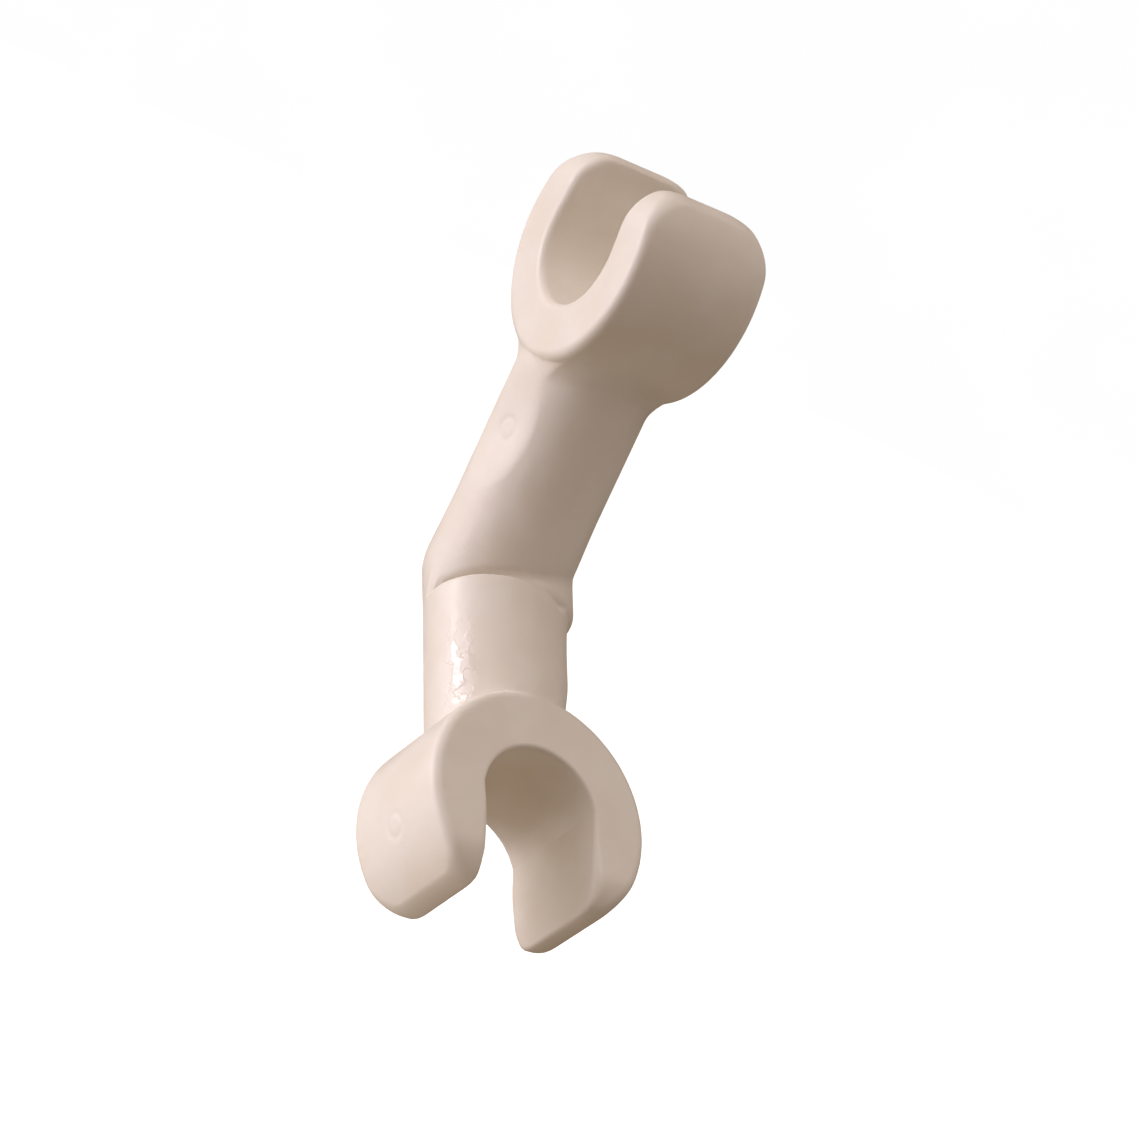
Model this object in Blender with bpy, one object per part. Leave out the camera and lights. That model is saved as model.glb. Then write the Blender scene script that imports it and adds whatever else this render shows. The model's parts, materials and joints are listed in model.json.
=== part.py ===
"""Clip-on toy figure arm: a bent round bar with a snap clip at the shoulder and one at the hand.

The origin is the middle of the shoulder clip's bore. X runs along the bar that clip grips,
Z up along the upper arm, and the forearm bends down and forward, towards -Y.
Each clip is a saddle, part of the arm, and two jaws that flex about the middle of their wall.
"""

import math

import bmesh
import bpy
from mathutils import Matrix, Vector

MM = 0.001

BORE_RADIUS = 1.60 * MM
RIM_FILLET = 0.22 * MM
TIP_FILLET = 0.25 * MM
ROOT_ANGLE = math.radians(62.0)
ROOT_GAP = 0.30 * MM

BAR_RADIUS = 1.76 * MM
BAR_END = 2.30 * MM
BEND_ANGLE = math.radians(49.3)
BEND_REACH = 0.85 * MM
UPPER_LENGTH = 8.54 * MM
FOREARM_LENGTH = 7.375 * MM

LIP_RADIUS = 1.80 * MM
LIP_THICKNESS = 0.70 * MM
LIP_SHIFT = 0.30 * MM

NECK_START = 2.40 * MM
NECK_BOTTOM = 1.70 * MM
NECK_TOP = 2.05 * MM
NECK_HEIGHT = 0.80 * MM
NECK_WIDTH_SHARE = 0.98

ARC_STEP = math.radians(9.0)
BAR_SIDES = 32
BAR_RESOLUTION = (BAR_SIDES - 4) // 2
TOOL_SIZE = 8.0 * MM
WELD_DISTANCE = 0.00001 * MM
SHARP_ANGLE = math.radians(40.0)

ORIGIN = Vector((0.0, 0.0, 0.0))
ACROSS = Vector((1.0, 0.0, 0.0))
UP = Vector((0.0, 0.0, 1.0))
FORWARD = Vector((0.0, -1.0, 0.0))
ELBOW = -UP * UPPER_LENGTH
FOREARM_DIR = Matrix.Rotation(-BEND_ANGLE, 3, "X") @ -UP
HAND_CENTRE = ELBOW + FOREARM_DIR * FOREARM_LENGTH

# outer: the C's outside radius; lift: how far that circle's middle is from the bore's, towards the
# arm; reach: how far the jaws run past the bore's middle; mouth: half the opening between them;
# corner: how round the two end corners of each jaw are, seen from the side
SHOULDER = {
    "name": "shoulder",
    "width": 3.64 * MM,
    "outer": 3.06 * MM,
    "lift": 0.0,
    "reach": 2.17 * MM,
    "mouth": 1.49 * MM,
    "corner": 1.20 * MM,
}
HAND = {
    "name": "hand",
    "width": 3.58 * MM,
    "outer": 2.98 * MM,
    "lift": 0.12 * MM,
    "reach": 2.15 * MM,
    "mouth": 1.515 * MM,
    "corner": 0.98 * MM,
}


def clear_scene():
    for old in list(bpy.data.objects):
        bpy.data.objects.remove(old, do_unlink=True)


def new_collection(name):
    collection = bpy.data.collections.new(name)
    bpy.context.scene.collection.children.link(collection)
    return collection


def plastic(name):
    material = bpy.data.materials.new(name)
    material.use_nodes = True
    shader = material.node_tree.nodes["Principled BSDF"]
    shader.inputs["Base Color"].default_value = (0.86, 0.81, 0.74, 1.0)
    shader.inputs["Roughness"].default_value = 0.38
    shader.inputs["Metallic"].default_value = 0.0
    return material


def arc(centre, radius, start, end):
    """Points along an arc; an angle is measured from the local y axis towards local x."""
    count = max(2, math.ceil(abs(end - start) / ARC_STEP))
    angles = [start + (end - start) * i / count for i in range(count + 1)]
    return [centre + Vector((math.sin(a), math.cos(a))) * radius for a in angles]


def fillet(before, corner, after, radius):
    """The arc that rounds the corner between two straight or nearly straight sides."""
    one = (before - corner).normalized()
    two = (after - corner).normalized()
    half = one.angle(two) / 2
    centre = corner + (one + two).normalized() * radius / math.sin(half)
    first = corner + one * radius / math.tan(half) - centre
    last = corner + two * radius / math.tan(half) - centre
    turn = first.angle_signed(last)
    start = math.atan2(first.x, first.y)
    return arc(centre, radius, start, start + turn)


def clip_outline(clip):
    """The C of a clip, closed, with the arm towards local +y and the mouth towards -y."""
    middle = Vector((0.0, 0.0))
    lifted = Vector((0.0, clip["lift"]))
    outer_end = math.acos(-(clip["reach"] + clip["lift"]) / clip["outer"])
    bore_end = math.pi - math.asin(clip["mouth"] / BORE_RADIUS)
    outside = arc(lifted, clip["outer"], 0.0, outer_end)
    bore = arc(middle, BORE_RADIUS, bore_end, 0.0)
    heel = outside.pop()
    toe = Vector((clip["mouth"], -clip["reach"]))
    half = outside[1:-1] + fillet(outside[-2], heel, toe, TIP_FILLET)
    half += fillet(heel, toe, bore[0], TIP_FILLET) + bore[:-1]
    mirrored = [Vector((-point.x, point.y)) for point in reversed(half)]
    return outside[:1] + half + bore[-1:] + mirrored


def side_outline(clip):
    """A clip seen from the side of a jaw: square at the arm end, its two far corners rounded."""
    half = clip["width"] / 2
    corner = clip["corner"]
    low = -clip["reach"]
    right = Vector((half - corner, low + corner))
    points = [Vector((half, TOOL_SIZE))] + arc(right, corner, math.pi / 2, math.pi)
    return points + [Vector((-point.x, point.y)) for point in reversed(points)]


def clip_frame(lateral, towards_arm, centre):
    """Local axes of a clip: x across its mouth, y towards the arm, z along its bore."""
    bore_axis = lateral.cross(towards_arm)
    axes = Matrix((lateral, towards_arm, bore_axis)).transposed().to_4x4()
    return Matrix.Translation(centre) @ axes


def mesh_of_curve(curve):
    """A closed mesh made from a curve, which is removed."""
    holder = bpy.data.objects.new("holder", curve)
    bpy.context.scene.collection.objects.link(holder)
    bpy.context.view_layer.update()
    depsgraph = bpy.context.evaluated_depsgraph_get()
    mesh = bpy.data.meshes.new_from_object(holder.evaluated_get(depsgraph))
    bpy.data.objects.remove(holder)
    bpy.data.curves.remove(curve)
    bm = bmesh.new()
    bm.from_mesh(mesh)
    bmesh.ops.remove_doubles(bm, verts=bm.verts, dist=WELD_DISTANCE)
    bmesh.ops.recalc_face_normals(bm, faces=bm.faces)
    bm.to_mesh(mesh)
    bm.free()
    return mesh


def plate_mesh(points, thickness, rim=0.0):
    """A flat outline extruded to a thickness, with rounded rims."""
    curve = bpy.data.curves.new("outline", "CURVE")
    curve.dimensions = "2D"
    curve.fill_mode = "BOTH"
    curve.extrude = thickness / 2 - rim
    curve.bevel_depth = rim
    curve.bevel_resolution = 1
    curve.offset = -rim
    spline = curve.splines.new("POLY")
    spline.points.add(len(points) - 1)
    for spot, point in zip(spline.points, points):
        spot.co = (point.x, point.y, 0.0, 1.0)
    spline.use_cyclic_u = True
    return mesh_of_curve(curve)


def place(name, mesh, collection, material=None, origin=ORIGIN):
    """Puts a mesh that is in world coordinates into the scene, with its object's origin at a point."""
    mesh.transform(Matrix.Translation(-origin))
    mesh.shade_smooth()
    mesh.set_sharp_from_angle(angle=SHARP_ANGLE)
    obj = bpy.data.objects.new(name, mesh)
    obj.location = origin
    collection.objects.link(obj)
    if material is not None:
        mesh.materials.clear()
        mesh.materials.append(material)
    return obj


def as_tool(obj):
    obj.hide_render = True
    obj.display_type = "WIRE"
    return obj


def boolean(target, tool, operation):
    modifier = target.modifiers.new(operation.lower() + "_" + tool.name, "BOOLEAN")
    modifier.operation = operation
    modifier.solver = "EXACT"
    modifier.object = tool


def clip_plate(name, clip, frame, side_tool, collection, material=None, origin=ORIGIN):
    """The whole C with rounded rims and rounded jaw ends."""
    mesh = plate_mesh(clip_outline(clip), clip["width"], RIM_FILLET)
    mesh.transform(frame)
    obj = place(name, mesh, collection, material, origin)
    boolean(obj, side_tool, "INTERSECT")
    return obj


def primitive_as(name, collection, transform):
    """Takes the primitive that was just added, bakes a transform into it and makes it a tool."""
    obj = bpy.context.object
    obj.name = name
    obj.data.transform(transform)
    for old in list(obj.users_collection):
        old.objects.unlink(obj)
    collection.objects.link(obj)
    return as_tool(obj)


def past_root_box(name, frame, side, start, collection):
    """A box over a whole jaw; its near face is parallel to the root's middle, start away from it."""
    turn = Matrix.Rotation(-side * ROOT_ANGLE, 4, "Z")
    past = Matrix.Translation((side * (TOOL_SIZE / 2 + start), TOOL_SIZE / 2, 0.0))
    bpy.ops.mesh.primitive_cube_add(size=TOOL_SIZE)
    return primitive_as(name, collection, frame @ turn @ past)


def side_plate(clip, frame, collection):
    """The tool that every piece of a clip is cut with, to round the jaws' end corners."""
    mesh = plate_mesh(side_outline(clip), TOOL_SIZE)
    mesh.transform(frame @ Matrix.Rotation(math.pi / 2, 4, "Y"))
    return as_tool(place(clip["name"] + "_side_tool", mesh, collection))


def saddle(clip, frame, side_tool, collection):
    """The part of the clip between its two roots, as a tool for joining to the arm."""
    obj = clip_plate(clip["name"] + "_saddle_tool", clip, frame, side_tool, collection)
    for side in (1, -1):
        name = clip["name"] + "_root_tool" + ("_a" if side > 0 else "_b")
        boolean(obj, past_root_box(name, frame, side, -ROOT_GAP / 2, collection), "DIFFERENCE")
    return as_tool(obj)


def jaw(name, clip, frame, side_tool, side, shown, tools):
    """A flexing jaw; its origin is on its hinge line, in the middle of the wall at the root."""
    middle = (BORE_RADIUS + clip["outer"] + clip["lift"] * math.cos(ROOT_ANGLE)) / 2
    angle = side * ROOT_ANGLE
    origin = frame @ Vector((middle * math.sin(angle), middle * math.cos(angle), 0.0))
    obj = clip_plate(name, clip, frame, side_tool, shown, plastic(name + "_plastic"), origin)
    boolean(obj, past_root_box(name + "_tool", frame, side, ROOT_GAP / 2, tools), "INTERSECT")
    return obj


def bent_bar(shown):
    """Upper arm and forearm: one round bar with a mitred bend."""
    curve = bpy.data.curves.new("bar", "CURVE")
    curve.dimensions = "3D"
    curve.bevel_depth = BAR_RADIUS
    curve.bevel_resolution = BAR_RESOLUTION
    curve.use_fill_caps = True
    full = 1.0 / math.cos(BEND_ANGLE / 2)
    route = (
        (-UP * BAR_END, 1.0),
        (ELBOW + UP * BEND_REACH, 1.0),
        (ELBOW, full),
        (ELBOW + FOREARM_DIR * BEND_REACH, 1.0),
        (HAND_CENTRE - FOREARM_DIR * BAR_END, 1.0),
    )
    spline = curve.splines.new("POLY")
    spline.points.add(len(route) - 1)
    for spot, (point, radius) in zip(spline.points, route):
        spot.co = (*point, 1.0)
        spot.radius = radius
    return place("arm_body", mesh_of_curve(curve), shown, plastic("arm_body_plastic"))


def elbow_lip(tools):
    """The ledge on the inside of the bend: a disc in the mitre plane, shifted forward."""
    tilt = Matrix.Rotation(-BEND_ANGLE / 2, 4, "X")
    forward = tilt @ FORWARD
    spot = Matrix.Translation(ELBOW + forward * LIP_SHIFT)
    bpy.ops.mesh.primitive_cylinder_add(vertices=BAR_SIDES, radius=LIP_RADIUS, depth=LIP_THICKNESS)
    return primitive_as("lip_tool", tools, spot @ tilt)


def shoulder_neck(tools):
    """Where the bar spreads, front and back, into the shoulder clip."""
    bpy.ops.mesh.primitive_cone_add(
        vertices=BAR_SIDES, radius1=NECK_BOTTOM, radius2=NECK_TOP, depth=NECK_HEIGHT
    )
    spot = Matrix.Translation(-UP * (NECK_START + NECK_HEIGHT / 2))
    narrow = Matrix.Scale(BAR_RADIUS / NECK_TOP * NECK_WIDTH_SHARE, 4, ACROSS)
    return primitive_as("neck_tool", tools, spot @ narrow)


def build():
    clear_scene()
    shown = new_collection("clip_on_arm")
    tools = new_collection("tools")
    shoulder_frame = clip_frame(FORWARD, -UP, ORIGIN)
    hand_frame = clip_frame(ACROSS, -FOREARM_DIR, HAND_CENTRE)
    shoulder_side = side_plate(SHOULDER, shoulder_frame, tools)
    hand_side = side_plate(HAND, hand_frame, tools)
    arm = bent_bar(shown)
    boolean(arm, elbow_lip(tools), "UNION")
    boolean(arm, shoulder_neck(tools), "UNION")
    boolean(arm, saddle(SHOULDER, shoulder_frame, shoulder_side, tools), "UNION")
    boolean(arm, saddle(HAND, hand_frame, hand_side, tools), "UNION")
    jaw("shoulder_jaw_front", SHOULDER, shoulder_frame, shoulder_side, 1, shown, tools)
    jaw("shoulder_jaw_rear", SHOULDER, shoulder_frame, shoulder_side, -1, shown, tools)
    jaw("hand_jaw_right", HAND, hand_frame, hand_side, 1, shown, tools)
    jaw("hand_jaw_left", HAND, hand_frame, hand_side, -1, shown, tools)


build()
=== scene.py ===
"""The looks of a small moulded robot arm: a bent round bar with a snap clip at each end.

The arm is one piece of plastic, so its visible skin is made as one surface. The surface is the zero
level of a distance field, built from the sizes below, which gives every join its moulded fillet.
The skin is then cut at the roots of the four clip jaws, into a piece for each jaw.
All modelling sizes are in millimetres, in the frame's axes: X along the bar in the shoulder clip,
Z up the upper arm. The forearm bends forward, towards -Y.
"""

import itertools
import json
import math
from collections import namedtuple

import bmesh
import bpy
import numpy as np
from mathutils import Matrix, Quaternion, Vector


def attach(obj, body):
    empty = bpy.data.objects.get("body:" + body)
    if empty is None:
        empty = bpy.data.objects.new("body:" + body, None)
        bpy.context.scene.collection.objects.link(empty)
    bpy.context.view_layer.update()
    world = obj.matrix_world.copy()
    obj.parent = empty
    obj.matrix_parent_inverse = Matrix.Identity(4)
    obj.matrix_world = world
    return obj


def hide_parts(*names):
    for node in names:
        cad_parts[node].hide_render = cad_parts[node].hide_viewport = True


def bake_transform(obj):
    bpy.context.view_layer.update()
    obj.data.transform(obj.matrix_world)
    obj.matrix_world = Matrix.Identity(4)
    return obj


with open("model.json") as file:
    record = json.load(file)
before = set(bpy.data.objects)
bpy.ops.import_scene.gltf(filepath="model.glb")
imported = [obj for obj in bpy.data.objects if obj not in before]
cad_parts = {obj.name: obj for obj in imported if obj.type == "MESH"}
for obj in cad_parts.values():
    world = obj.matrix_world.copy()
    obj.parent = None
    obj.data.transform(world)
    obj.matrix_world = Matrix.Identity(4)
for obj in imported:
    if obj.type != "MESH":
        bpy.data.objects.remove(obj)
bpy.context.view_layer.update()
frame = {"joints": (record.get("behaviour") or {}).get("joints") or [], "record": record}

MM = 0.001

# Clips. Each is a ring, open at its mouth, seen along the bar that it grips. The ring's outside is
# lifted towards the arm, and its jaws reach past the bore's middle. The mouth is half the gap between
# the jaws, and the bore turns into it at the snap's height. The rims round the edges, and the corner
# rounds the tips of the jaws.
Clip = namedtuple("Clip", "bore radius lift reach width mouth snap rim bore_rim corner")
SHOULDER = Clip(
    bore=1.60,
    radius=3.07,
    lift=0.0,
    reach=2.17,
    width=3.64,
    mouth=1.49,
    snap=0.0,
    rim=0.25,
    bore_rim=0.22,
    corner=1.20,
)
HAND = Clip(
    bore=1.60,
    radius=3.01,
    lift=0.12,
    reach=2.15,
    width=3.58,
    mouth=1.515,
    snap=0.35,
    rim=0.25,
    bore_rim=0.10,
    corner=0.98,
)

# How far the bore takes to narrow to the mouth, and the bore's rim to narrow again at a jaw's tip.
SNAP_LENGTH = 1.0
TIP_LENGTH = 0.6

# The bent bar between the clips. The forearm lies a little to the left of the upper arm, and has a
# slight waist on its right, above the hand. The fillet at the shoulder fades out at its clip's sides.
BAR_RADIUS = 1.765
UPPER_LENGTH = 8.54
FOREARM_LENGTH = 7.375
BEND = math.radians(49.3)
FOREARM_SHIFT = -0.03
WAIST_DEPTH = 0.12
WAIST_HEIGHT = (4.2, 3.0)
WAIST_SIDE = (0.60, 1.60)
SHOULDER_FILLET = 0.50
SHOULDER_FILLET_FADE = (1.80, 1.50)
HAND_FILLET = 0.04

# The elbow. Both bars swell a little towards it and meet at a mitre, rounded on its outside. On its
# inside the forearm starts lower than the mitre, with a rim almost square to the forearm that stands
# proud of the upper arm. On the left the rim is crisp and the upper arm's end turns in behind it; on
# the right the rim is soft and rises, and a low ledge fills the step. Each pair is where a change
# starts and where it ends.
SWELL_LENGTH = 1.80
SWELL_SIZE = 0.05
MITRE_EDGE = 0.14
MITRE_FADE = (0.10, 0.90)
MITRE_REACH = 1.50
RIM_END = 6.17
RIM_TILT = -0.145
RIM_RISE = 0.75
RIM_RISE_FADE = (0.80, 1.70)
RIM_CRISP = 0.08
RIM_SOFT = 0.35
RIM_FADE = (-0.30, 0.90)
TURN_IN = 0.50
TURN_DEPTH = (0.15, 0.60)
TURN_FADE = (-0.50, 0.70)
STEP_FILLET = 0.06
STEP_FADE = (0.05, 0.40)
LEDGE_RADIUS = 1.77
LEDGE_SHIFT = (0.25, -0.06)
LEDGE_SINK = 0.30
LEDGE_FADE = (-0.40, 0.50)
LEDGE_TOP = 0.45
LEDGE_END = 5.98
LEDGE_EDGE = 0.30
LEDGE_FILLET = 0.10

# The bars end inside the clips' walls.
BAR_END = 2.30

# The gate recess on the upper arm, a shallow scoop, with the ring of the gate inside it. A mould pin
# has left a ring of the same size on the hand.
SCOOP_AZIMUTH = -80
SCOOP_DROP = 4.9
SCOOP_DEPTH = 0.17
SCOOP_RADIUS = 5.4
SCOOP_EDGE = 0.10
RING_RADIUS = 0.28
RING_WIDTH = 0.09
RING_DEPTH = 0.02
PIN_DROP = 0.45

# The painted shade of the crease (a darker colour where shade falls) and the glossy patch on the
# forearm:
# where each of their soft edges starts and ends, along the forearm, to the right and towards the
# front.
CREASE_PAINTED_SHADE_HEIGHT = ((-0.05, 0.02), (0.10, 0.30))
CREASE_PAINTED_SHADE_RIGHT = ((-1.74, -1.60), (-1.40, 0.30))
CREASE_PAINTED_SHADE_FRONT = (0.0, 0.2)
POLISH_HEIGHT = ((2.7, 3.0), (3.6, 6.4))
POLISH_FRONT = ((0.25, 0.50), (1.00, 1.30))
POLISH_LEFT = (0.0, 1.0)

# The skin's mesh: its grid, the steps that draw it onto the zero level, and the cuts at the roots.
CELL = 0.07
MARGIN = 0.35
NEWTON_STEPS = 4
LEAST_STEEPNESS = 0.2
SLOPE_STEP = 0.002
ROOT_BAND = 0.70
CUT_REACH = 3 * CELL
CUT_MERGE = 0.0005


# ---------------------------------------------------------------- distance fields


def cut_rounded(a, b, radius):
    """What two fields share, with a rounded edge between them."""
    corner = np.hypot(np.maximum(a + radius, 0), np.maximum(b + radius, 0))
    return np.minimum(np.maximum(a, b) + radius, 0) + corner - radius


def join_rounded(a, b, radius):
    """Two fields together, with a fillet between them."""
    return -cut_rounded(-a, -b, radius)


def unit(vector):
    return np.array(vector, float) / np.linalg.norm(vector)


UP = np.array([0.0, 0.0, 1.0])
ACROSS = np.array([1.0, 0.0, 0.0])
FOREARM_UP = np.array([0.0, math.sin(BEND), math.cos(BEND)])
HAND_AXIAL = np.array([0.0, -math.cos(BEND), math.sin(BEND)])
MITRE = np.array([0.0, math.sin(BEND / 2), math.cos(BEND / 2)])
ALONG_MITRE = np.array([0.0, math.cos(BEND / 2), -math.sin(BEND / 2)])
ELBOW = -UPPER_LENGTH * UP
HAND_CENTRE = ELBOW - FOREARM_LENGTH * FOREARM_UP

# A clip's own axes: sideways between its jaws, inward from its mouth to the arm, axial on its bar.
Axes = namedtuple("Axes", "centre sideways inward axial")
SHOULDER_AXES = Axes(np.zeros(3), np.array([0.0, 1.0, 0.0]), -UP, ACROSS)
HAND_AXES = Axes(HAND_CENTRE, ACROSS, FOREARM_UP, HAND_AXIAL)

SCOOP_SIDE = math.radians(SCOOP_AZIMUTH)
SCOOP_OUTWARD = np.array([math.sin(SCOOP_SIDE), -math.cos(SCOOP_SIDE), 0.0])
GATE_CENTRE = (BAR_RADIUS - SCOOP_DEPTH) * SCOOP_OUTWARD - SCOOP_DROP * UP
PIN_CENTRE = HAND_CENTRE - HAND.radius * ACROSS - PIN_DROP * FOREARM_UP
MARKS = ((GATE_CENTRE, SCOOP_OUTWARD), (PIN_CENTRE, -ACROSS))


def local(points, axes):
    offset = points - axes.centre
    return offset @ axes.sideways, offset @ axes.inward, offset @ axes.axial


def smooth_step(value):
    inside = np.clip(value, 0, 1)
    return inside**2 * (3 - 2 * inside)


def bore_field(sideways, inward, clip):
    """The space that the gripped bar takes, and below it the mouth between two straight walls."""
    bore = np.hypot(sideways, inward) - clip.bore
    widest = math.sqrt(clip.bore**2 - clip.snap**2)
    narrowing = smooth_step((clip.snap - inward) / SNAP_LENGTH)
    half = widest + (clip.mouth - widest) * narrowing
    return np.where(inward > clip.snap, bore, np.abs(sideways) - half)


def clip_field(points, clip, axes):
    """A clip: the ring, flat at its mouth, less the bore."""
    sideways, inward, axial = local(points, axes)
    outside = np.hypot(sideways, inward - clip.lift) - clip.radius
    plan = cut_rounded(-inward - clip.reach, np.abs(axial) - clip.width / 2, clip.corner)
    solid = cut_rounded(cut_rounded(outside, -inward - clip.reach, clip.rim), plan, clip.rim)
    along_jaw = smooth_step(-inward / clip.bore)
    short_of_tip = smooth_step((inward + clip.reach) / TIP_LENGTH)
    rim = clip.bore_rim + (clip.rim - clip.bore_rim) * along_jaw * short_of_tip
    return cut_rounded(solid, -bore_field(sideways, inward, clip), rim)


def scoop_field(points):
    """A wide shallow cutter across the side of the upper arm."""
    centre = BAR_RADIUS - SCOOP_DEPTH + SCOOP_RADIUS
    return np.hypot(points @ SCOOP_OUTWARD - centre, points[:, 2] + SCOOP_DROP) - SCOOP_RADIUS


def along_forearm(points):
    """Distance from the middle of the hand clip, towards the elbow."""
    return (points - HAND_CENTRE) @ FOREARM_UP


def fade(value, span):
    """0 at the start of a span and 1 at its end, with a smooth change between."""
    return smooth_step((value - span[0]) / (span[1] - span[0]))


def ledge_field(points, below, outside):
    """The low ledge on the right, a little wider than the forearm; behind, it sinks in."""
    right = points[:, 0] - LEDGE_SHIFT[0]
    front = (points - HAND_CENTRE) @ HAND_AXIAL - LEDGE_SHIFT[1]
    ledge = np.hypot(right, front) - LEDGE_RADIUS + LEDGE_SINK * fade(outside, LEDGE_FADE)
    ledge = cut_rounded(ledge, LEDGE_END - along_forearm(points), LEDGE_EDGE)
    return cut_rounded(ledge, below - LEDGE_TOP, LEDGE_EDGE)


def inner_elbow(points, upper, forearm, outside):
    """The inside of the bend: the upper arm's end behind the forearm's rim."""
    right = points[:, 0]
    past_rim = along_forearm(points) - RIM_END - RIM_TILT * right
    rim = RIM_CRISP + (RIM_SOFT - RIM_CRISP) * fade(right, RIM_FADE)
    stepped = cut_rounded(forearm, past_rim - RIM_RISE * fade(right, RIM_RISE_FADE), rim)
    to_right = fade(right, TURN_FADE)
    depth = TURN_DEPTH[0] + (TURN_DEPTH[1] - TURN_DEPTH[0]) * to_right
    inside = fade(-outside, STEP_FADE)
    turned = cut_rounded(upper, -past_rim - depth, TURN_IN * inside * (1 - to_right))
    return join_rounded(turned, stepped, STEP_FILLET * inside)


def bent_bar_field(points):
    """Upper arm and forearm, from the wall of one clip to the wall of the other."""
    below = (points - ELBOW) @ MITRE
    outside = (points - ELBOW) @ ALONG_MITRE
    radius = BAR_RADIUS + SWELL_SIZE * smooth_step(1 - np.abs(below) / SWELL_LENGTH)
    right = points[:, 0] - FOREARM_SHIFT * smooth_step(-below / SWELL_LENGTH)
    upper = np.hypot(right, points[:, 1]) - radius
    upper = cut_rounded(upper, -scoop_field(points), SCOOP_EDGE)
    forearm = np.hypot(right, (points - HAND_CENTRE) @ HAND_AXIAL) - radius
    waist = fade(along_forearm(points), WAIST_HEIGHT) * fade(points[:, 0], WAIST_SIDE)
    forearm = forearm + WAIST_DEPTH * waist
    rounded = cut_rounded(upper, forearm, MITRE_EDGE * fade(outside, MITRE_FADE))
    mitred = np.where(below > 0, upper, forearm)
    outer = np.where(np.abs(below) < MITRE_REACH, rounded, mitred)
    bar = np.where(outside > 0, outer, inner_elbow(points, upper, forearm, outside))
    bar = join_rounded(bar, ledge_field(points, below, outside), LEDGE_FILLET)
    return np.maximum(np.maximum(bar, points[:, 2] + BAR_END), BAR_END - along_forearm(points))


def ring_mark(points, centre, outward):
    """The depth of the shallow ring that a mould's gate or pin leaves."""
    offset = points - centre
    height = offset @ outward
    radius = np.sqrt(np.maximum((offset**2).sum(axis=1) - height**2, 0))
    groove = np.exp(-(((radius - RING_RADIUS) / RING_WIDTH) ** 2))
    return RING_DEPTH * groove * (np.abs(height) < RING_RADIUS)


def skin_field(points):
    """The whole arm: both clips, the bent bar and the two marks of the mould."""
    bar = bent_bar_field(points)
    fillet = SHOULDER_FILLET * fade(np.abs(points[:, 0]), SHOULDER_FILLET_FADE)
    arm = join_rounded(clip_field(points, SHOULDER, SHOULDER_AXES), bar, fillet)
    hand = clip_field(points, HAND, HAND_AXES)
    near_hand = points[:, 2] < ELBOW[2]
    arm = join_rounded(arm, hand, np.where(near_hand, HAND_FILLET, 0.0))
    for centre, outward in MARKS:
        arm = arm + ring_mark(points, centre, outward)
    return arm


def slopes(points):
    """The field's gradient, by central differences."""
    columns = []
    for axis in np.eye(3):
        ahead = skin_field(points + SLOPE_STEP * axis)
        columns.append(ahead - skin_field(points - SLOPE_STEP * axis))
    return np.stack(columns, axis=1) / (2 * SLOPE_STEP)


# ---------------------------------------------------------------- field to mesh


def add_crossings(total, crossings, values, axis):
    """Adds where the surface crosses each grid edge along one axis to the four cells round it."""
    first = np.moveaxis(values, axis, 0)
    start, end = first[:-1], first[1:]
    crosses = (start < 0) != (end < 0)
    share = np.where(crosses, start / np.where(crosses, start - end, 1), 0)
    places = np.moveaxis(total, axis, 0)
    counts = np.moveaxis(crossings, axis, 0)
    others = [i for i in range(3) if i != axis]
    for sides in itertools.product((0, 1), repeat=2):
        part_a, part_b = (slice(side, n - 1 + side) for side, n in zip(sides, first.shape[1:]))
        hit = crosses[:, part_a, part_b]
        places[..., axis] += np.where(hit, share[:, part_a, part_b], 0)
        for other, side in zip(others, sides):
            places[..., other] += np.where(hit, side, 0)
        counts += hit


def surface_net(low, counts):
    """The skin's points and quads: one point in each cell that the surface crosses."""
    axes = [low[i] + CELL * np.arange(counts[i]) for i in range(3)]
    grid = np.stack(np.meshgrid(*axes, indexing="ij"), axis=-1)
    values = skin_field(grid.reshape(-1, 3)).reshape(counts)
    cells = np.array(counts) - 1
    total = np.zeros((*cells, 3))
    crossings = np.zeros(cells)
    for axis in range(3):
        add_crossings(total, crossings, values, axis)
    used = crossings > 0
    corners = np.argwhere(used)
    points = low + CELL * (corners + total[used] / crossings[used][:, None])
    index = np.full(cells, -1)
    index[used] = np.arange(len(corners))
    return points, net_quads(values, index)


def net_quads(values, index):
    """A quad round each grid edge that the surface crosses, wound so that it faces out."""
    quads = []
    for axis in range(3):
        first = np.moveaxis(values, axis, 0)
        cell = np.moveaxis(index, axis, 0)
        inner = first[:, 1:-1, 1:-1] < 0
        crosses = inner[:-1] != inner[1:]
        leaves = inner[:-1][crosses]
        ring = [cell[:, :-1, :-1], cell[:, 1:, :-1], cell[:, 1:, 1:], cell[:, :-1, 1:]]
        quad = np.stack([corner[crosses] for corner in ring], axis=1)
        turned = leaves if axis != 1 else ~leaves
        quads.append(np.where(turned[:, None], quad, quad[:, ::-1]))
    return np.concatenate(quads)


def make_skin():
    """The whole skin's points and quads, drawn onto the zero level."""
    reach = max(SHOULDER.radius, HAND.radius) + MARGIN
    low = np.array([-reach, HAND_CENTRE[1] - reach, HAND_CENTRE[2] - reach])
    high = np.array([reach, reach, SHOULDER.reach + MARGIN])
    counts = tuple(int(n) for n in np.ceil((high - low) / CELL) + 1)
    points, quads = surface_net(low, counts)
    for _ in range(NEWTON_STEPS):
        slope = slopes(points)
        steepness = np.maximum((slope**2).sum(axis=1), LEAST_STEEPNESS)
        step = np.clip(skin_field(points) / steepness, -CELL / 2, CELL / 2)
        points = points - step[:, None] * slope
    return points, quads


# ---------------------------------------------------------------- skin to pieces


Jaw = namedtuple("Jaw", "body node hinge tangent axes side")


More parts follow.
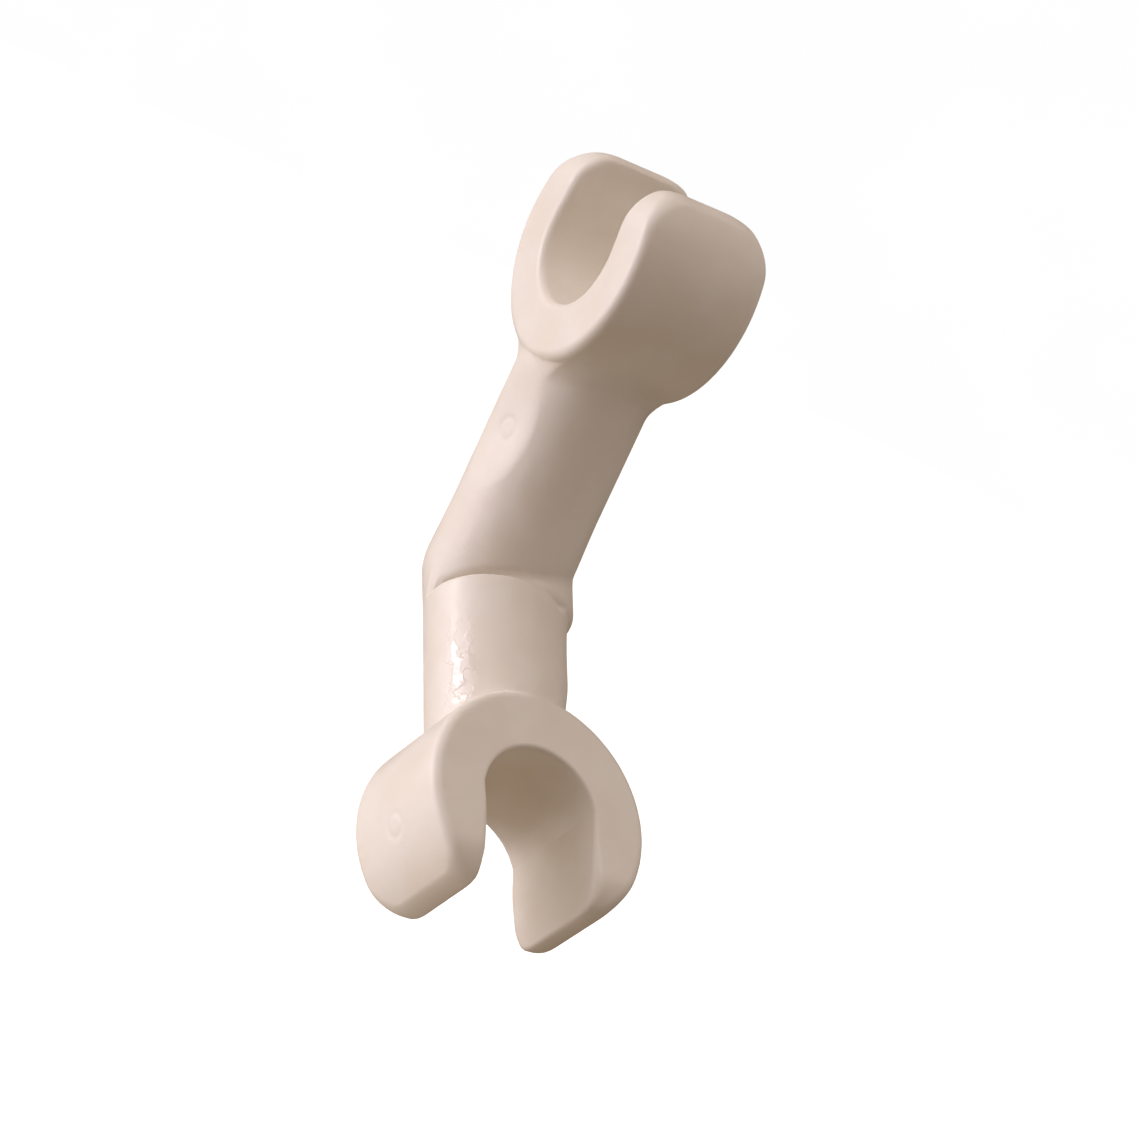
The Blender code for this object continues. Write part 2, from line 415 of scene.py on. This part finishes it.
def find_jaws():
    """Each jaw's hinge and directions, from the frame's joints."""
    jaws = []
    nodes = frame["record"]["behaviour"]["bodies"]
    for joint in frame["joints"]:
        hinge = np.array(joint["pos_m"]) / MM
        near_hand = np.linalg.norm(hinge - HAND_CENTRE) < HAND.radius
        axes = HAND_AXES if near_hand else SHOULDER_AXES
        outward = unit(hinge - axes.centre)
        sideways = outward @ axes.sideways
        side = math.copysign(1.0, sideways)
        tangent = abs(outward @ axes.inward) * side * axes.sideways - abs(sideways) * axes.inward
        body = joint["child"]
        jaws.append(Jaw(body, nodes[body][0], hinge, unit(tangent), axes, side))
    return jaws


def band_end(jaw, side):
    """An end of the stretch of wall that bends: side -1 is at the arm, and side 1 at the jaw."""
    return jaw.hinge + side * ROOT_BAND * jaw.tangent


def past_root(points, jaw):
    """Distance past the plane where the jaw's skin leaves the arm's."""
    return (points - jaw.hinge) @ jaw.tangent + ROOT_BAND


def to_side(points, jaw):
    """Distance from the clip's middle plane, towards the jaw."""
    return (points - jaw.axes.centre) @ jaw.axes.sideways * jaw.side


def in_jaw(points, jaw):
    return (to_side(points, jaw) > 0) & (past_root(points, jaw) > 0)


def cut_at_root(mesh, jaw):
    """Cuts the wall's faces along the root plane."""
    geometry = []
    for face in mesh.faces:
        centre = np.array(face.calc_center_median())
        if to_side(centre, jaw) > 0 and abs(past_root(centre, jaw)) < CUT_REACH:
            geometry.append(face)
    edges = {edge for face in geometry for edge in face.edges}
    corners = {corner for face in geometry for corner in face.verts}
    bmesh.ops.bisect_plane(
        mesh,
        geom=[*geometry, *edges, *corners],
        dist=CUT_MERGE,
        plane_co=Vector(band_end(jaw, -1)),
        plane_no=Vector(jaw.tangent),
    )


def piece_from(name, points, faces):
    """One closed piece: its skin faces in millimetres, with each cut closed by a flat cap."""
    used, flat = np.unique(np.concatenate(faces), return_inverse=True)
    lengths = [len(face) for face in faces]
    ends = np.cumsum(lengths)
    rows = [flat[end - n : end].tolist() for n, end in zip(lengths, ends)]
    mesh = bpy.data.meshes.new(name)
    mesh.from_pydata((points[used] * MM).tolist(), [], rows)
    work = bmesh.new()
    work.from_mesh(mesh)
    rim = [edge for edge in work.edges if edge.is_boundary]
    caps = bmesh.ops.holes_fill(work, edges=rim, sides=0)["faces"]
    caps = bmesh.ops.triangulate(work, faces=caps)["faces"]
    for face in work.faces:
        face.smooth = True
    for face in caps:
        face.smooth = False
    work.to_mesh(mesh)
    work.free()
    obj = bpy.data.objects.new(name, mesh)
    bpy.context.scene.collection.objects.link(obj)
    return obj


def shade_from_field(obj):
    """Gives the skin the field's own normals, so that it reads as one smooth surface."""
    mesh = obj.data
    places = np.zeros(len(mesh.vertices) * 3)
    mesh.vertices.foreach_get("co", places)
    slope = slopes(places.reshape(-1, 3) / MM)
    slope /= np.linalg.norm(slope, axis=1)[:, None]
    corner_vertex = np.zeros(len(mesh.loops), np.int32)
    mesh.loops.foreach_get("vertex_index", corner_vertex)
    normals = slope[corner_vertex]
    for face in mesh.polygons:
        if not face.use_smooth:
            normals[list(face.loop_indices)] = face.normal
    mesh.normals_split_custom_set(normals.tolist())


def cut_skin(jaws):
    """The skin's points and faces, with edges along every jaw's root."""
    points, quads = make_skin()
    work = bmesh.new()
    corners = [work.verts.new(p) for p in points]
    for quad in quads:
        work.faces.new([corners[i] for i in quad])
    for jaw in jaws:
        cut_at_root(work, jaw)
    work.verts.index_update()
    points = np.array([v.co for v in work.verts])
    faces = [np.array([v.index for v in face.verts]) for face in work.faces]
    work.free()
    return points, faces


def build_pieces():
    """The arm's skin, and each jaw's skin with its jaw."""
    jaws = find_jaws()
    points, faces = cut_skin(jaws)
    centres = np.array([points[face].mean(axis=0) for face in faces])
    owner = np.full(len(faces), -1)
    for number, jaw in enumerate(jaws):
        owner[in_jaw(centres, jaw)] = number
    pieces = []
    for number in range(-1, len(jaws)):
        chosen = [face for face, who in zip(faces, owner) if who == number]
        name = "arm_skin" if number < 0 else f"{jaws[number].body}_skin"
        piece = piece_from(name, points, chosen)
        shade_from_field(piece)
        pieces.append(piece)
    return pieces[0], list(zip(pieces[1:], jaws))


# ---------------------------------------------------------------- materials


# The plastic. A scale is how often a noise repeats in a metre, and levels are the two values of a
# noise between which it has its effect.
PLASTIC_COLOURS = ((0.890, 0.825, 0.730), (0.915, 0.865, 0.780))
PLASTIC_IOR = 1.5
CLOUD_SCALE = 620
SATIN_SCALE = 900
SATIN_ROUGHNESS = (0.34, 0.48)
MIDDLE_LEVELS = (0.35, 0.65)
SPECK_COLOUR = (0.32, 0.25, 0.18)
SPECK_SCALE = 480
SPECK_EDGE = (0.02, 0.05)
SPECK_LEVELS = (0.66, 0.70)
# The darker colour mixed in as painted shade in the crease behind the forearm's rim.
CREASE_PAINTED_SHADE_COLOUR = (0.60, 0.53, 0.42)
POLISH_SCALE = 2600
POLISH_LEVELS = (0.45, 0.52)
POLISH_LEAST = 0.30
POLISH_GLOSS = 0.30

# The plastic's relief: each a noise's scale, and its depth in metres.
RIPPLE = (650, 0.00005)
DIMPLES = (3200, 0.000008)
GRAIN = (11000, 0.0000015)
PITS = (3000, 0.00003)

# The stage's paper.
FLOOR_SCALE = 60
FLOOR_SHADES = ((0.88, 0.88, 0.88), (0.92, 0.92, 0.92))
FLOOR_ROUGHNESS = 0.9
BACKDROP_SCALE = 30
BACKDROP_SHADES = ((0.99, 0.99, 0.99), (1.0, 1.0, 1.0))
FIBRE_LEVELS = (0.3, 0.7)


def new_material(name):
    """A material, its nodes, its shader and the place on the object."""
    material = bpy.data.materials.new(name)
    material.use_nodes = True
    tree = material.node_tree
    place = add_node(tree, "ShaderNodeTexCoord").outputs["Object"]
    return material, tree, tree.nodes["Principled BSDF"], place


def add_node(tree, kind, **values):
    node = tree.nodes.new(kind)
    for key, value in values.items():
        setattr(node, key, value)
    return node


def noise(tree, place, scale, detail=2):
    node = add_node(tree, "ShaderNodeTexNoise")
    node.inputs["Scale"].default_value = scale
    node.inputs["Detail"].default_value = detail
    tree.links.new(place, node.inputs["Vector"])
    return node.outputs["Fac"]


def mix_colour(tree, share, base, colour):
    """A base with a share of another colour; the base is a colour or comes from a node."""
    mix = add_node(tree, "ShaderNodeMix", data_type="RGBA")
    tree.links.new(share, mix.inputs["Factor"])
    if isinstance(base, tuple):
        mix.inputs["A"].default_value = (*base, 1)
    else:
        tree.links.new(base, mix.inputs["A"])
    mix.inputs["B"].default_value = (*colour, 1)
    return mix.outputs["Result"]


def ramp(tree, value, low, high, start, end):
    """Maps a value from start..end onto low..high, with a smooth change between."""
    node = add_node(tree, "ShaderNodeMapRange", interpolation_type="SMOOTHSTEP")
    node.inputs["From Min"].default_value = start
    node.inputs["From Max"].default_value = end
    node.inputs["To Min"].default_value = low
    node.inputs["To Max"].default_value = high
    tree.links.new(value, node.inputs["Value"])
    return node.outputs["Result"]


def colour_ramp(tree, value, colours, levels):
    """Maps a value between two levels onto the mixes of two colours."""
    return mix_colour(tree, ramp(tree, value, 0.0, 1.0, *levels), *colours)


def bump(tree, height, depth, before=None):
    """Adds a height pattern, its depth in metres, to what is already there."""
    node = add_node(tree, "ShaderNodeBump")
    node.inputs["Distance"].default_value = depth
    tree.links.new(height, node.inputs["Height"])
    if before:
        tree.links.new(before, node.inputs["Normal"])
    return node.outputs["Normal"]


def math_node(tree, operation, first, second):
    node = add_node(tree, "ShaderNodeMath", operation=operation)
    for socket, value in zip(node.inputs, (first, second)):
        if isinstance(value, float):
            socket.default_value = value
        else:
            tree.links.new(value, socket)
    return node.outputs[0]


def distance_along(tree, place, direction, start):
    """How far a place is past a start, in metres, along a direction."""
    dot = add_node(tree, "ShaderNodeVectorMath", operation="DOT_PRODUCT")
    tree.links.new(place, dot.inputs[0])
    dot.inputs[1].default_value = direction
    offset = float(start @ direction) * MM
    return math_node(tree, "SUBTRACT", dot.outputs["Value"], offset)


def past_edge(tree, value, edge):
    """0 before a soft edge and 1 after it; the edge is a pair in millimetres."""
    return ramp(tree, value, 0.0, 1.0, edge[0] * MM, edge[1] * MM)


def between(tree, value, low, high):
    """1 between two soft edges and 0 outside them; each edge is a pair in millimetres."""
    falling = ramp(tree, value, 1.0, 0.0, high[0] * MM, high[1] * MM)
    return math_node(tree, "MULTIPLY", past_edge(tree, value, low), falling)


def polish(tree, place):
    """The glossy patch on the left front of the forearm: strongest just above the hand clip."""
    height = distance_along(tree, place, FOREARM_UP, HAND_CENTRE)
    front = distance_along(tree, place, HAND_AXIAL, HAND_CENTRE)
    left = distance_along(tree, place, -ACROSS, HAND_CENTRE)
    area = between(tree, height, *POLISH_HEIGHT)
    area = math_node(tree, "MULTIPLY", area, between(tree, front, *POLISH_FRONT))
    area = math_node(tree, "MULTIPLY", area, past_edge(tree, left, POLISH_LEFT))
    blotches = noise(tree, place, POLISH_SCALE, detail=3)
    patches = ramp(tree, blotches, POLISH_LEAST, 1.0, *POLISH_LEVELS)
    return math_node(tree, "MULTIPLY", area, patches)


def specks(tree, place, base):
    """Sparse tiny dark specks of dirt."""
    cells = add_node(tree, "ShaderNodeTexVoronoi")
    cells.inputs["Scale"].default_value = SPECK_SCALE
    tree.links.new(place, cells.inputs["Vector"])
    dot = ramp(tree, cells.outputs["Distance"], 1.0, 0.0, *SPECK_EDGE)
    chosen = ramp(tree, cells.outputs["Color"], 0.0, 1.0, *SPECK_LEVELS)
    return mix_colour(tree, math_node(tree, "MULTIPLY", dot, chosen), base, SPECK_COLOUR)


def crease_painted_shade(tree, place, base):
    """Painted shade: darkens the colour in the crease behind the forearm's rim, strongest on the
    left.
    """
    across_rim = FOREARM_UP - RIM_TILT * ACROSS
    past_rim = distance_along(tree, place, across_rim, HAND_CENTRE + RIM_END * FOREARM_UP)
    right = distance_along(tree, place, ACROSS, HAND_CENTRE)
    front = distance_along(tree, place, HAND_AXIAL, HAND_CENTRE)
    area = between(tree, past_rim, *CREASE_PAINTED_SHADE_HEIGHT)
    area = math_node(tree, "MULTIPLY", area, between(tree, right, *CREASE_PAINTED_SHADE_RIGHT))
    area = math_node(tree, "MULTIPLY", area, past_edge(tree, front, CREASE_PAINTED_SHADE_FRONT))
    return mix_colour(tree, area, base, CREASE_PAINTED_SHADE_COLOUR)


def relief(tree, place, polished):
    """The mould's ripple, dimples and grain, and the pits of the glossy patch."""
    normal = None
    for scale, depth in (RIPPLE, DIMPLES, GRAIN):
        normal = bump(tree, noise(tree, place, scale), depth, normal)
    scale, depth = PITS
    pits = math_node(tree, "MULTIPLY", noise(tree, place, scale), polished)
    return bump(tree, pits, depth, normal)


def arm_plastic():
    """Warm white satin plastic, a little cloudy, with the faint ripple of its mould, and painted
    shade in the crease at the elbow.
    """
    material, tree, shader, place = new_material("warm_white_moulded_plastic")
    cloud = noise(tree, place, CLOUD_SCALE, detail=4)
    base = colour_ramp(tree, cloud, PLASTIC_COLOURS, MIDDLE_LEVELS)
    # The crease behind the forearm's rim gets painted shade, a darker colour mixed into the base.
    base = crease_painted_shade(tree, place, specks(tree, place, base))
    tree.links.new(base, shader.inputs["Base Color"])
    handling = noise(tree, place, SATIN_SCALE, detail=4)
    satin = ramp(tree, handling, *SATIN_ROUGHNESS, *MIDDLE_LEVELS)
    polished = polish(tree, place)
    gloss = math_node(tree, "MULTIPLY", polished, POLISH_GLOSS)
    tree.links.new(math_node(tree, "SUBTRACT", satin, gloss), shader.inputs["Roughness"])
    tree.links.new(relief(tree, place, polished), shader.inputs["Normal"])
    shader.inputs["IOR"].default_value = PLASTIC_IOR
    return material


def floor_paper():
    """Plain pale paper with a barely visible fibre."""
    material, tree, shader, place = new_material("pale_paper")
    fibre = noise(tree, place, FLOOR_SCALE, detail=4)
    shade = colour_ramp(tree, fibre, FLOOR_SHADES, FIBRE_LEVELS)
    tree.links.new(shade, shader.inputs["Base Color"])
    shader.inputs["Roughness"].default_value = FLOOR_ROUGHNESS
    return material


def backdrop_paper():
    """The evenly lit paper behind the floor."""
    material, tree, shader, place = new_material("lit_backdrop")
    fibre = noise(tree, place, BACKDROP_SCALE)
    glow = colour_ramp(tree, fibre, BACKDROP_SHADES, FIBRE_LEVELS)
    tree.links.new(glow, shader.inputs["Emission Color"])
    shader.inputs["Emission Strength"].default_value = 1.0
    shader.inputs["Base Color"].default_value = (0, 0, 0, 1)
    shader.inputs["Specular IOR Level"].default_value = 0
    return material


# ---------------------------------------------------------------- stage, light and camera

# The stage and the camera, in metres and degrees. The camera and the lamps aim at the same place,
# and the lens and the sensor are in millimetres.
FLOOR_DROP = 60 * MM
STUDIO_RADIUS = 0.60
AIM = Vector((0.75, -1.94, -7.37)) * MM
CAMERA_AZIMUTH = -30.53
CAMERA_ELEVATION = 9.91
CAMERA_ROLL = 25.12
CAMERA_DISTANCE = 80 * MM
CAMERA_LENS = 103.22
SENSOR_WIDTH = 36

# Lamps. Sizes are width and height, in metres.
LAMP_DISTANCE = 0.25
WINDOW = (0.20, 0.20)
PANE = (0.075, 0.05)
SOFT_CARD = (0.25, 0.25)
WIDE_CARD = (0.30, 0.30)
LOW_CARD = (0.003, 0.003)
LOW_CARD_DISTANCE = 0.012
ROOM_COLOUR = (1.0, 0.74, 0.54)
ROOM_STRENGTH = 0.20
SUN_STRENGTH = 3.3
SUN_ANGLE = math.radians(60)


def compass(azimuth, elevation):
    """The direction from the object to a place round it. Azimuth 0 is in front, at -Y."""
    around = math.radians(azimuth)
    above = math.radians(elevation)
    flat = math.cos(above)
    return Vector((math.sin(around) * flat, -math.cos(around) * flat, math.sin(above)))


def camera_only(obj):
    """The stage is seen, but it throws no light of its own back on the object."""
    obj.visible_diffuse = False
    obj.visible_glossy = False
    obj.visible_transmission = False
    obj.visible_shadow = False


def make_stage():
    bpy.ops.mesh.primitive_circle_add(
        vertices=96, radius=STUDIO_RADIUS, fill_type="NGON", location=(0, 0, -FLOOR_DROP)
    )
    floor = bpy.context.object
    floor.name = "floor"
    floor.data.materials.append(floor_paper())
    bpy.ops.mesh.primitive_uv_sphere_add(segments=64, ring_count=32, radius=STUDIO_RADIUS)
    dome = bpy.context.object
    dome.name = "backdrop"
    dome.location.z = -FLOOR_DROP
    dome.data.materials.append(backdrop_paper())
    for obj in (floor, dome):
        camera_only(obj)
    return floor


def light_floor(floor):
    """A soft overhead sun that reaches only the floor, and shows the arm's shadow there."""
    data = bpy.data.lights.new("floor_sun", "SUN")
    data.energy = SUN_STRENGTH
    data.angle = SUN_ANGLE
    sun = bpy.data.objects.new("floor_sun", data)
    bpy.context.scene.collection.objects.link(sun)
    lit = bpy.data.collections.new("lit_by_floor_sun")
    lit.objects.link(floor)
    sun.light_linking.receiver_collection = lit


def softbox(name, azimuth, elevation, size, radiance, colour, distance=LAMP_DISTANCE):
    """A rectangular lamp that faces the arm. Radiance is how bright it looks."""
    width, height = size
    data = bpy.data.lights.new(name, "AREA")
    data.shape = "RECTANGLE"
    data.size = width
    data.size_y = height
    data.energy = radiance * math.pi * width * height
    data.color = colour
    lamp = bpy.data.objects.new(name, data)
    away = compass(azimuth, elevation)
    lamp.location = AIM + away * distance
    lamp.rotation_mode = "QUATERNION"
    lamp.rotation_quaternion = away.to_track_quat("Z", "Y")
    bpy.context.scene.collection.objects.link(lamp)
    return lamp


def make_lights():
    """A bright window on the left, and the room's weaker light all round."""
    softbox("window", -117, 8, WINDOW, radiance=2.35, colour=(0.93, 0.85, 1.0))
    softbox("window_low", -117, -25, WINDOW, radiance=0.90, colour=(1.0, 0.93, 0.91))
    softbox("window_back", -140, 8, WINDOW, radiance=0.55, colour=(1.0, 1.0, 0.75))
    softbox("window_front", -75, 15, WINDOW, radiance=0.50, colour=(0.88, 0.88, 1.0))
    softbox("window_pane", -118, 13, PANE, radiance=7.5, colour=(1.0, 0.95, 0.97))
    softbox("ceiling", 0, 80, WIDE_CARD, radiance=1.10, colour=(1.0, 0.92, 0.90))
    softbox("fill", 70, 10, SOFT_CARD, radiance=0.29, colour=(0.92, 0.92, 1.0))
    softbox("table_bounce", 0, -88, WIDE_CARD, radiance=0.22, colour=(1.0, 0.80, 0.60))
    light_hand()
    world = bpy.data.worlds.new("room")
    world.use_nodes = True
    background = world.node_tree.nodes["Background"]
    background.inputs["Color"].default_value = (*ROOM_COLOUR, 1)
    background.inputs["Strength"].default_value = ROOM_STRENGTH
    bpy.context.scene.world = world


def light_hand():
    """A small card close to the hand clip, unseen by the camera."""
    card = softbox(
        "low_card",
        azimuth=-55.4,
        elevation=-26,
        size=LOW_CARD,
        radiance=4.5,
        colour=(1.0, 0.92, 0.88),
        distance=LOW_CARD_DISTANCE,
    )
    card.location += Vector(HAND_CENTRE) * MM - AIM
    card.visible_camera = False


def make_camera():
    data = bpy.data.cameras.new("camera")
    data.sensor_width = SENSOR_WIDTH
    data.lens = CAMERA_LENS
    data.clip_start = 0.005
    data.clip_end = 5
    camera = bpy.data.objects.new("camera", data)
    away = compass(CAMERA_AZIMUTH, CAMERA_ELEVATION)
    roll = Quaternion((0, 0, 1), math.radians(CAMERA_ROLL))
    camera.location = AIM + away * CAMERA_DISTANCE
    camera.rotation_mode = "QUATERNION"
    camera.rotation_quaternion = away.to_track_quat("Z", "Y") @ roll
    bpy.context.scene.collection.objects.link(camera)
    bpy.context.scene.camera = camera


# ---------------------------------------------------------------- the scene


def dress_frame():
    """Puts the arm's skin on the arm's body and a skin at each jaw, and hides the frame's own pieces
    behind them.
    """
    plastic = arm_plastic()
    arm_skin, jaw_skins = build_pieces()
    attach(arm_skin, "arm")
    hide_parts("arm_body")
    for skin, jaw in jaw_skins:
        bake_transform(skin)
        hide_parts(jaw.node)
    for skin in [arm_skin, *(skin for skin, _ in jaw_skins)]:
        skin.data.materials.append(plastic)


bpy.context.scene.view_settings.view_transform = "Standard"
dress_frame()
light_floor(make_stage())
make_lights()
make_camera()
